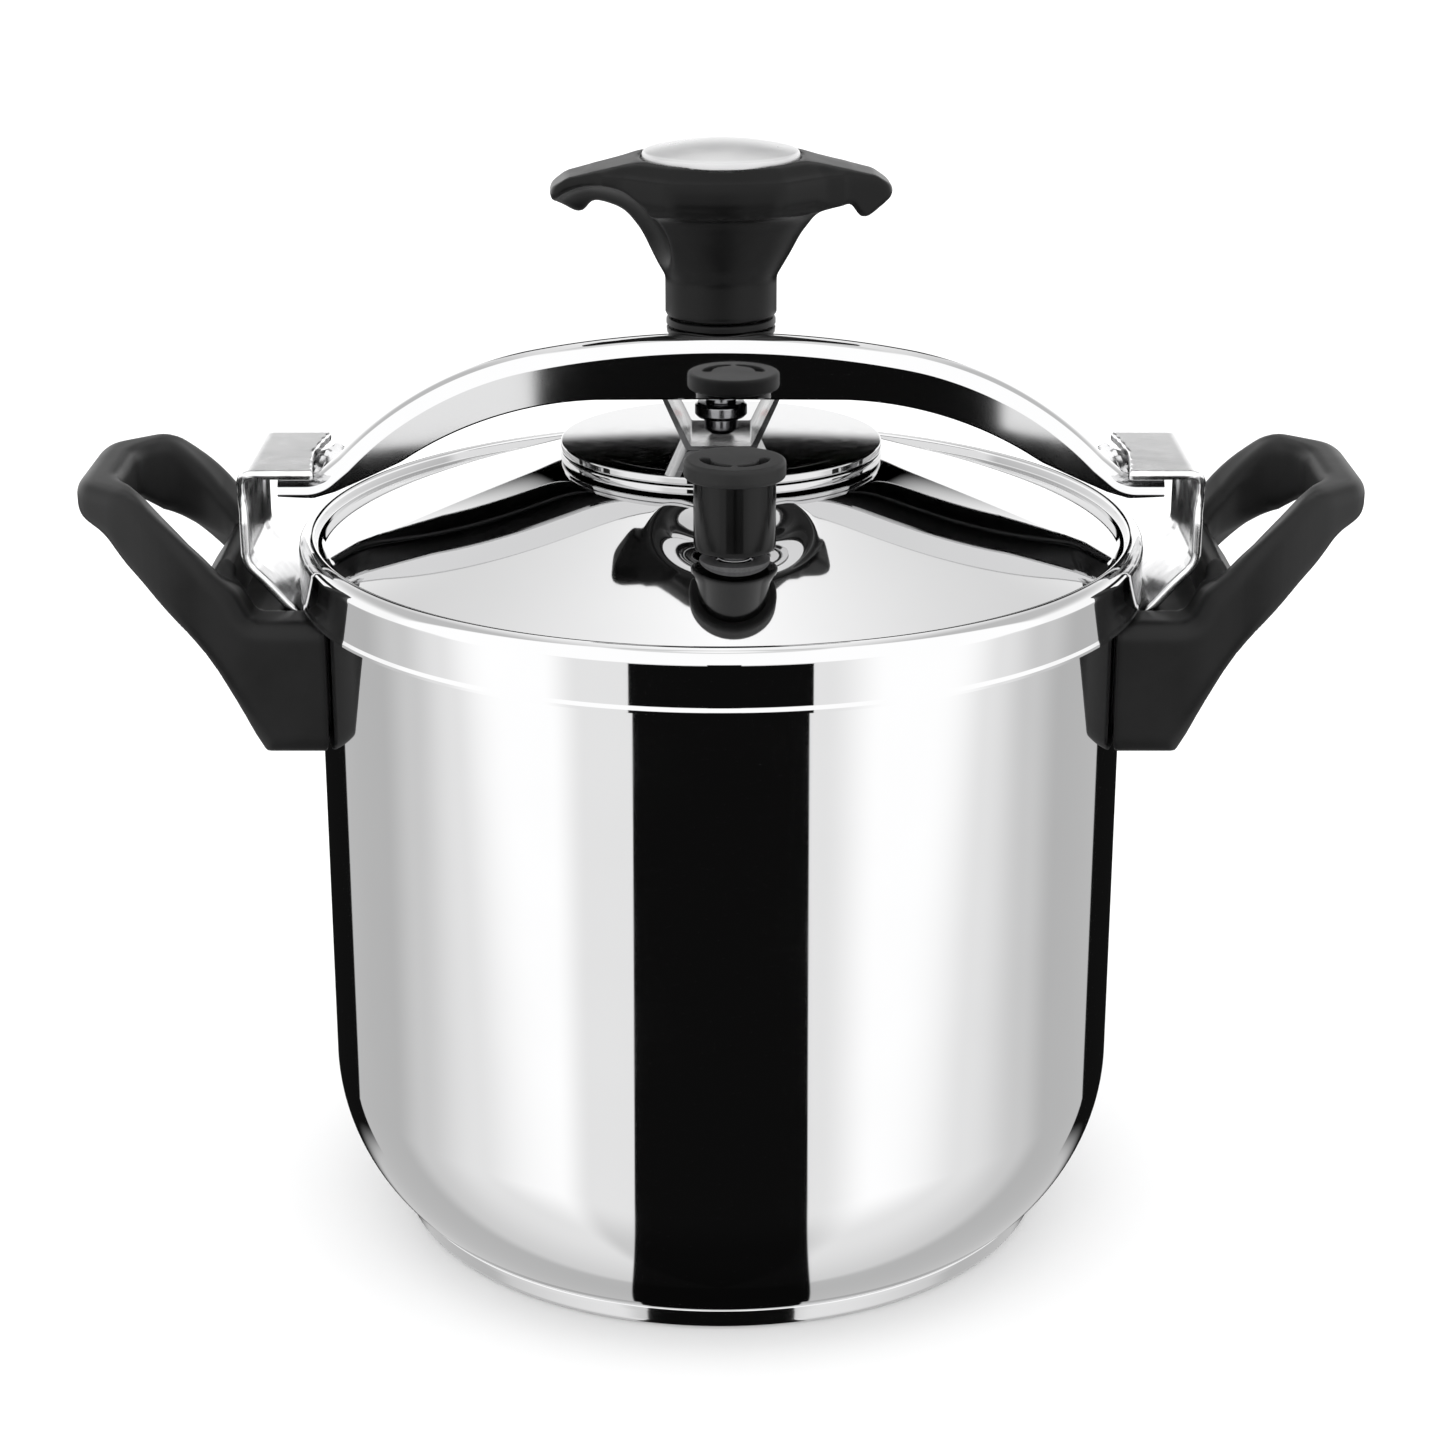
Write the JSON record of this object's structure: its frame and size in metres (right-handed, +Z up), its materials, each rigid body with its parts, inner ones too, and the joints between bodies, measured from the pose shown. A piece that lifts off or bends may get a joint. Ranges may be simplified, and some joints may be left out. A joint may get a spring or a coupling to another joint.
{
  "type": "stovetop pressure cooker",
  "caption": "Polished steel pressure cooker with a domed lid held by a screw-down bridge, black loop handles, a winged knob and a weighted regulator.",
  "frame": {"origin": "centre of the base's underside, where it stands on the hob", "axes": "+Z up along the pot's axis; +X along the bridge to the right handle; -Y to the pressure regulator"},
  "size_m": [0.35, 0.2318, 0.3041],
  "materials": {
    "pot_steel": "mirror-polished stainless steel",
    "lid_steel": "mirror-polished stainless steel",
    "base_steel": "polished stainless steel",
    "core_aluminium": "matt, enclosed",
    "bracket_steel": "stamped and tumbled",
    "disc_steel": "satin face, turned edge",
    "bridge_steel": "mirror-polished",
    "fastener_steel": "turned",
    "spindle_steel": "turned, oiled",
    "bush_brass": "turned",
    "handle_plastic": "moulded phenolic, satin",
    "knob_plastic": "moulded phenolic, satin",
    "valve_plastic": "moulded phenolic, semi-gloss",
    "valve_cap_plastic": "moulded phenolic, matt",
    "gasket_rubber": "moulded silicone",
    "pin_red": "painted"
  },
  "bodies": {
    "pot": {"pot_shell": "pot_steel", "base_core": "core_aluminium", "base_shell": "base_steel", "left_bracket": "bracket_steel", "right_bracket": "bracket_steel", "left_handle": "handle_plastic", "right_handle": "handle_plastic", "left_saddle": "handle_plastic", "right_saddle": "handle_plastic", "handle_studs": "fastener_steel", "handle_screws": "fastener_steel", "handle_washers": "fastener_steel"},
    "lid": {"lid_shell": "lid_steel", "gasket": "gasket_rubber", "lower_disc": "disc_steel", "upper_disc": "disc_steel", "guide_trough": "disc_steel", "vent_pipe": "fastener_steel", "vent_seal": "gasket_rubber", "vent_nut": "fastener_steel", "safety_housing": "fastener_steel", "safety_seal": "gasket_rubber", "safety_nut": "fastener_steel", "safety_spring": "spindle_steel"},
    "safety_plunger": {"safety_pin": "pin_red"},
    "bridge": {"bridge_arch": "bridge_steel", "thread_bush": "bush_brass", "bush_collar": "knob_plastic"},
    "knob": {"knob_grip": "knob_plastic", "knob_cap": "lid_steel", "knob_insert": "bush_brass", "spindle": "spindle_steel", "spindle_foot": "spindle_steel", "spindle_clip": "spindle_steel"},
    "regulator_stem": {"regulator_needle": "spindle_steel"},
    "regulator_head": {"regulator_body": "valve_plastic", "regulator_cap": "valve_cap_plastic", "regulator_weight": "spindle_steel"}
  },
  "joints": [
    {"name": "lid_turn", "type": "hinge", "parent": "pot", "child": "lid", "pos_m": [0, 0, 0.19], "axis": [0, 0, 1], "range_deg": [-40, 40]},
    {"name": "knob_turn", "type": "hinge", "parent": "lid", "child": "knob", "pos_m": [0, 0, 0.24], "axis": [0, 0, 1], "range_deg": [0, 720.2]},
    {"name": "bridge_drop", "type": "slide", "parent": "lid", "child": "bridge", "axis": [0, 0, 1], "range_m": [-0.0035, 0]},
    {"name": "regulator_lift", "type": "slide", "parent": "lid", "child": "regulator_stem", "axis": [0, 0, 1], "range_m": [0, 0.004]},
    {"name": "regulator_turn", "type": "hinge", "parent": "regulator_stem", "child": "regulator_head", "pos_m": [0.0035, -0.066, 0.225], "axis": [0, 0, 1], "continuous": true},
    {"name": "safety_pop", "type": "slide", "parent": "lid", "child": "safety_plunger", "axis": [0, 0, 1], "range_m": [0, 0.003], "stiffness_N_per_m": 250}
  ],
  "couplings": [
    {"joint": "knob_turn", "follows": "bridge_drop", "rad_per_m": -3590.4}
  ]
}
